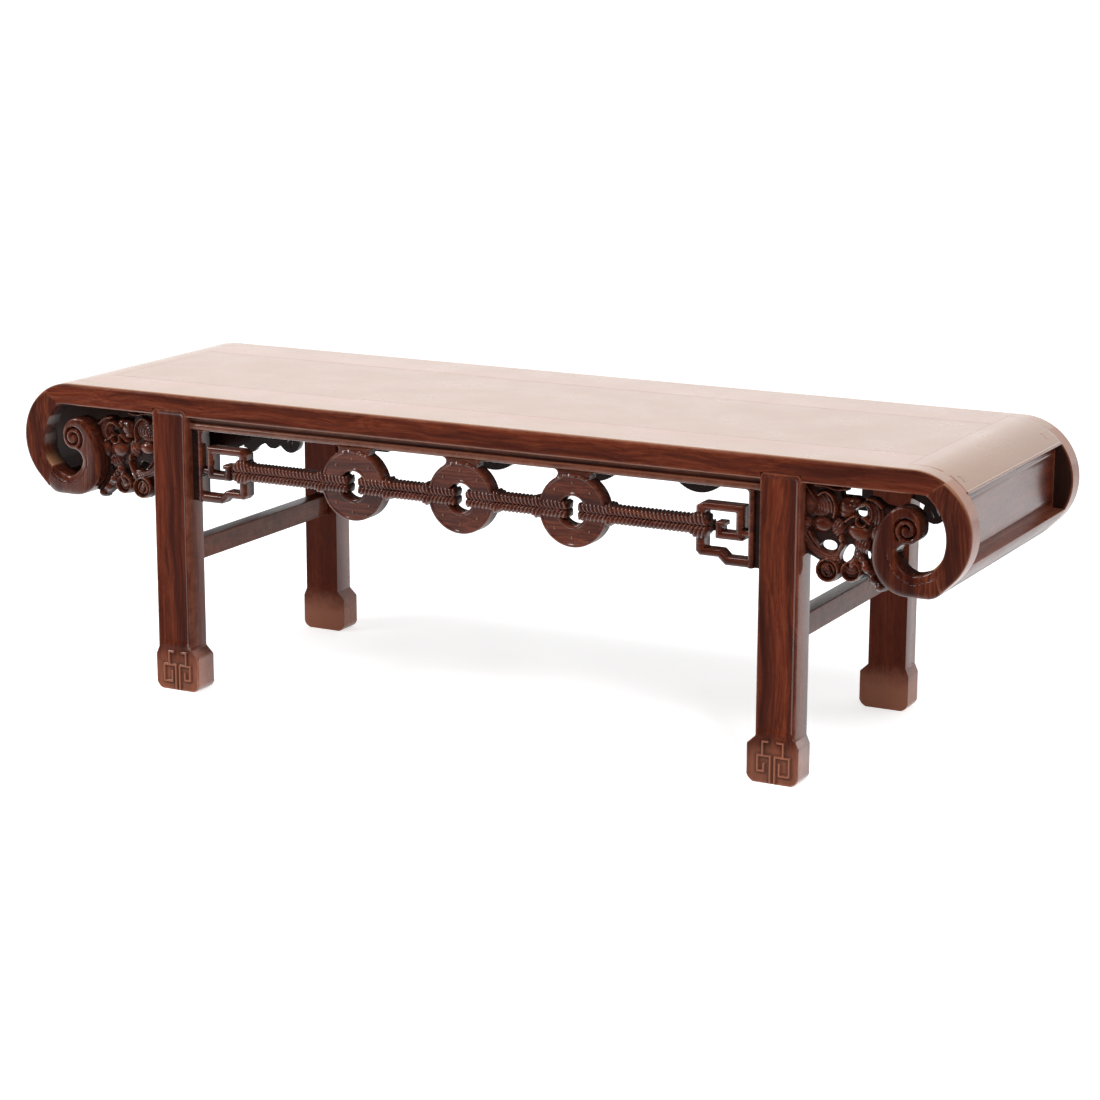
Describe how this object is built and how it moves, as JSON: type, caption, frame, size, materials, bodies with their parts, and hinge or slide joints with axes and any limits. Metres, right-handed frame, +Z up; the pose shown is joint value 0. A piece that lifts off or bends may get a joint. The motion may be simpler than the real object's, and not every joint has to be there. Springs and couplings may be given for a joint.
{
  "type": "kang table",
  "caption": "Low rectangular hardwood table with rolled scroll ends, straight legs with flared feet, pierced aprons and carved spandrels.",
  "frame": {"origin": "on the floor under the middle of the table", "axes": "+X along the table's length, +Y from its front apron to its back apron, +Z up"},
  "size_m": [1.154, 0.346, 0.345],
  "materials": {
    "top_wood": "polished",
    "rail_wood": "polished",
    "scroll_wood": "polished",
    "end_wood": "polished",
    "leg_wood": "polished",
    "carved_wood": "polished",
    "under_wood": "matt oiled",
    "plug_wood": "polished"
  },
  "bodies": {
    "root": {"apron_disc_left_back": "carved_wood", "apron_disc_left_front": "carved_wood", "apron_disc_middle_back": "carved_wood", "apron_disc_middle_front": "carved_wood", "apron_disc_right_back": "carved_wood", "apron_disc_right_front": "carved_wood", "apron_fret_back_left": "carved_wood", "apron_fret_back_right": "carved_wood", "apron_fret_front_left": "carved_wood", "apron_fret_front_right": "carved_wood", "apron_head_back": "carved_wood", "apron_head_front": "carved_wood", "apron_rope_far_left_back": "carved_wood", "apron_rope_far_left_front": "carved_wood", "apron_rope_far_right_back": "carved_wood", "apron_rope_far_right_front": "carved_wood", "apron_rope_near_left_back": "carved_wood", "apron_rope_near_left_front": "carved_wood", "apron_rope_near_right_back": "carved_wood", "apron_rope_near_right_front": "carved_wood", "end_lower_rail_left": "end_wood", "end_lower_rail_right": "end_wood", "end_panel_left": "end_wood", "end_panel_right": "end_wood", "end_rail_left": "rail_wood", "end_rail_plugs": "plug_wood", "end_rail_right": "rail_wood", "leg_back_left": "leg_wood", "leg_back_right": "leg_wood", "leg_front_left": "leg_wood", "leg_front_right": "leg_wood", "panel_batten_left": "under_wood", "panel_batten_middle": "under_wood", "panel_batten_right": "under_wood", "scroll_arm_back_left": "scroll_wood", "scroll_arm_back_right": "scroll_wood", "scroll_arm_front_left": "scroll_wood", "scroll_arm_front_right": "scroll_wood", "scroll_volute_back_left": "scroll_wood", "scroll_volute_back_right": "scroll_wood", "scroll_volute_front_left": "scroll_wood", "scroll_volute_front_right": "scroll_wood", "spandrel_back_left": "carved_wood", "spandrel_back_right": "carved_wood", "spandrel_front_left": "carved_wood", "spandrel_front_right": "carved_wood", "stretcher_left": "leg_wood", "stretcher_right": "leg_wood", "top_panel": "top_wood", "top_rail_back": "rail_wood", "top_rail_front": "rail_wood"}
  },
  "joints": []
}
